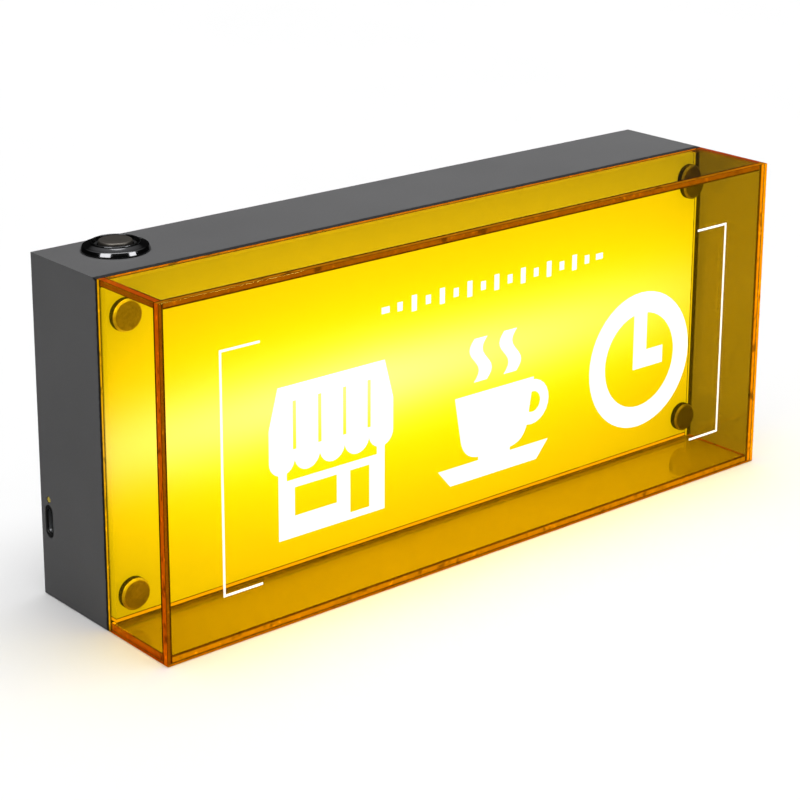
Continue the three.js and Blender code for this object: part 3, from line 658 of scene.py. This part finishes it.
def makeSwitch():
    # body: a leaning skirt under a dished slope, a small groove, then the raised rim round the recess
    slope = [(11.55 - 2.45 * t, 2.12 + 0.98 * t**1.4) for t in np.linspace(0, 1, 9)]
    body = np.vstack([
        softCorners([(0.0, -32.0), (9.0, -32.0), (9.0, -26.0), (10.0, -26.0), (10.0, 0.4),
                     (12.1, 0.4)], 0.14),
        softCorners([(12.1, 0.4), (12.4, 0.45), (12.38, 0.65), (11.83, 1.95), (11.55, 2.12)], 0.1, 5),
        slope,
        softCorners([(9.05, 3.05), (8.95, 2.9), (8.85, 3.45), (8.15, 3.45), (8.1, 1.2), (6.5, 1.2),
                     (6.5, -14.0), (0.0, -14.0)], 0.16),
    ])
    bezel = turnedPiece("switchBezel", body, switchAt, sides=switch["facets"])
    mount(bezel, "housing", "black_metal", blackGloss, "switch_body")
    ring = softCorners([
        (7.2, 1.2), (7.9, 1.2), (7.9, 2.0), (7.6, 2.3), (6.5, 2.3), (6.5, 1.2), (7.2, 1.2),
    ], 0.1)
    ringPiece = turnedPiece("switchInnerRing", ring, switchAt, sides=switch["facets"])
    mount(ringPiece, "housing", "black_plastic", blackPlastic, "switch_ring")
    cap = softCorners([
        (0.0, -11.1), (2.0, -11.1), (2.0, -4.0), (6.1, -4.0), (6.1, 3.5), (5.75, 3.86), (3.0, 3.9),
        (0.0, 3.9),
    ], 0.2)
    button = turnedPiece("switchCap", cap, switchAt, sides=switch["facets"])
    mount(button, "button", "button_face", buttonSatin, "switch_button")
    washer = softCorners([
        (11.0, 0.0), (11.6, 0.0), (11.6, 0.5), (10.3, 0.5), (10.3, 0.0), (11.0, 0.0),
    ], 0.08)
    gasket = turnedPiece("switchGasketRing", washer, switchAt, sides=switch["facets"])
    mount(gasket, "housing", "black_rubber", blackRubber, "switch_gasket")
    nut = bevelledCopy("switch_nut", "switchHexNut", 0.3)
    mount(nut, "housing", "zinc_steel", zincSteel, "switch_nut")


def makeSpring():
    # helix: centre at R cos a, R sin a, rising with a; the wire's round section stands square to it
    low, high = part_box("switch_spring")
    coil = {"radius": 3.7, "wire": 0.35, "turns": 7, "perTurn": 28, "sides": 10, "closing": 0.03,
            "travel": 2.5}
    steps = coil["turns"] * coil["perTurn"] + 1
    a = np.linspace(0, 2 * math.pi * coil["turns"], steps)
    base = low.z + coil["wire"] * mm
    rise = high.z - low.z - 2 * coil["wire"] * mm
    part = np.linspace(0, 1, steps)
    eased = part + coil["closing"] * np.sin(2 * math.pi * (part - 0.5))  # closer coils at the ends
    radius = coil["radius"] * mm
    centre = np.stack([radius * np.cos(a), radius * np.sin(a), base + rise * eased], -1)
    out = np.stack([np.cos(a), np.sin(a), np.zeros(steps)], -1)
    tangent = np.gradient(centre, axis=0)
    tangent /= np.linalg.norm(tangent, axis=1, keepdims=True)
    up = np.cross(tangent, out)
    b = np.linspace(0, 2 * math.pi, coil["sides"], endpoint=False)
    wire = coil["wire"] * mm * np.concatenate([[0.0], np.ones(steps - 2), [0.0]])
    offset = out[:, None] * np.cos(b)[None, :, None] + up[:, None] * np.sin(b)[None, :, None]
    grid = centre[:, None] + wire[:, None, None] * offset
    middle = middleOf("switch_spring")
    grid = grid + np.array([middle.x, middle.y, 0.0])
    spring = gridPiece("returnSpring", grid)
    mount(spring, "housing", "zinc_steel", zincSteel, "switch_spring")
    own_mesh(spring)


makeSwitch()
makeSpring()
print("switch made")


# Acrylic cover: five glued sheets whose sawn ends glow with painted light

# painted glow of the sawn ends, by sheet and way, each with the millimetres its inner glue line has over the
# outer
sawnEnds = {
    "front": {
        "toLeft": ((0.62, 0.1, 0.0), 0.2),
        "toRight": ((1.7, 0.6, 0.0), 0.0),
        "toTop": ((0.52, 0.17, 0.003), 0.5),
        "toFoot": ((0.62, 0.18, 0.0), 0.0),
    },
    "left": {
        "ahead": ((0.5, 0.15, 0.0), 0.4),
        "behind": ((1.15, 0.6, 0.0), 0.9),
        "toTop": ((0.52, 0.075, 0.003), 0.0),
        "toFoot": ((0.5, 0.07, 0.0), 0.0),
    },
    "right": {
        "ahead": ((2.0, 0.75, 0.0), 0.9),
        "behind": ((0.1, 0.05, 0.0), 0.0),
        "toTop": ((0.45, 0.06, 0.01), 0.0),
        "toFoot": ((0.5, 0.07, 0.0), 0.0),
    },
    "top": {
        "ahead": ((0.62, 0.2, 0.0), 0.3),
        "behind": ((1.2, 0.3, 0.0), 0.0),
        "toLeft": ((0.4, 0.1, 0.0), 0.0),
        "toRight": ((0.4, 0.1, 0.0), 0.0),
    },
    "bottom": {
        "ahead": ((1.1, 0.5, 0.0), 0.5),
        "behind": ((3.2, 1.7, 0.0), 0.0),
        "toLeft": ((0.6, 0.1, 0.0), 0.0),
        "toRight": ((0.6, 0.1, 0.0), 0.0),
    },
}
ways = {
    "toLeft": (0, -1),
    "toRight": (0, 1),
    "ahead": (1, -1),
    "behind": (1, 1),
    "toFoot": (2, -1),
    "toTop": (2, 1),
}


def makeCover():
    # of each sheet's faces, those square to its thickness are polished and the narrow ends are sawn
    sheet = {"edge": 0.2, "glueGap": 0.02}
    for side, ends in sawnEnds.items():
        low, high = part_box(f"cover_{side}")
        thin = int(np.argmin(high - low))
        piece = bevelledCopy(f"cover_{side}", f"coverSheet_{side}", sheet["edge"], 2, False)
        shrink = np.array([side in ("top", "bottom"), side != "front", 0.0]) * sheet["glueGap"] * mm
        count = len(piece.data.vertices)
        points = np.zeros(count * 3)
        piece.data.vertices.foreach_get("co", points)
        points = points.reshape(-1, 3)
        points -= np.sign(points - points.mean(0)) * shrink
        piece.data.vertices.foreach_set("co", points.ravel())
        normals = np.zeros(len(piece.data.polygons) * 3)
        piece.data.polygons.foreach_get("normal", normals)
        normals = normals.reshape(-1, 3)
        # the bottom sheet's tint holds painted light and the right sheet's tint holds painted shade
        clear = {"bottom": footPaintedLightAcrylic, "right": rightPaintedShadeAcrylic}.get(side, yellowAcrylic)
        mount(piece, "cover", "yellow_acrylic", clear, f"cover_{side}")
        finish = np.zeros(len(normals), np.int32)
        for number, (end, (colour, innerLine)) in enumerate(ends.items(), 1):
            axis, sign = ways[end]
            finish[(np.abs(normals).argmax(1) == axis) & (normals[:, axis] * sign > 0)] = number
            name = f"{side}Sheet_{end}"
            piece.data.materials.append(sawnEdgeSurface(name, colour, "xyz"[thin], innerLine))
        piece.data.polygons.foreach_set("material_index", finish)


makeCover()
print("cover made")


# Vinyl on the front

def makeMarkRow():
    # a row of thin bars and dots over the pictograms: mark i stands at pitch i from the middle
    row = {"pitch": 6.7, "count": 17, "rise": 108.4, "height": 6.0, "dotShare": 0.55, "width": 2.3,
           "dash": 3.6, "film": 0.15, "lift": 0.002}
    index = np.arange(row["count"]) - (row["count"] - 1) / 2
    corner = np.array([(-1, -1), (1, -1), (1, 1), (-1, 1)]) / 2
    atEnd = np.abs(index) > index.max() - 0.5
    odd = (np.abs(index) % 2 == 1) & ~atEnd
    width = np.where(atEnd, row["dash"], row["width"])
    height = np.where(atEnd, row["width"], row["height"] * np.where(odd, row["dotShare"], 1.0))
    flat = np.stack([
        index[:, None] * row["pitch"] + corner[None, :, 0] * width[:, None],
        row["rise"] + corner[None, :, 1] * height[:, None],
    ], -1)
    depth = np.array([frontY - row["film"], frontY - row["lift"]])
    box = np.zeros((row["count"], 2, 4, 3))
    box[..., 0] = flat[:, None, :, 0]
    box[..., 1] = depth[None, :, None]
    box[..., 2] = flat[:, None, :, 1]
    shape = np.array([(0, 1, 2, 3), (7, 6, 5, 4), (0, 4, 5, 1), (1, 5, 6, 2), (2, 6, 7, 3), (3, 7, 4, 0)])
    faces = (np.arange(row["count"])[:, None, None] * 8 + shape[None]).reshape(-1, 4)
    piece = meshPiece("vinylMarkRow", box.reshape(-1, 3) * mm, faces.tolist(), smooth=False)
    tidyMesh(piece.data)
    mount(piece, "cover", "white_vinyl", whiteVinyl)


makeMarkRow()
vinylNodes = [name for name in cadNodes if name.startswith("vinyl_")]
coat(whiteVinyl, *vinylNodes)
print("vinyl made")


# Charging port and rear screws

for node, name, width, slot, finish in (
    ("socket_surround", "portSurround", 0.2, "black_plastic", blackPlastic),
    ("charge_socket", "portSocket", 0.08, "cap_steel", zincSteel),
    ("indicator_lens", "portLens", 0.2, "amber_lens", amberLens),
):
    mount(bevelledCopy(node, name, width, 2), "housing", slot, finish, node)
for side in ("top_left", "top_right", "bottom_left", "bottom_right", "left", "right"):
    screw = bevelledCopy(f"rear_screw_{side}", f"rearScrew_{side}", 0.12, 2)
    mount(screw, "housing", "black_screw", blackScrew, f"rear_screw_{side}")
print("port and screws made")


# Inner pieces

brassStarts = ("panel_post", "channel_post", "switch_terminal")
coat(brass, *[name for name in cadNodes if name.startswith(brassStarts)])
coat(zincSteel, "channel_screw_left", "channel_screw_right")
coat(aluminium, "light_channel")
coat(whiteSheet, "led_board", "reflector_sheet")
coat(boardGreen, "charge_board")
coat(blackRubber, "board_pad")
coat(blackPlastic, "battery_holder")
coat(cellWrap, "battery_cell")
coat(leadRed, "battery_lead", "switch_lead", "light_lead")
print("inner pieces finished")
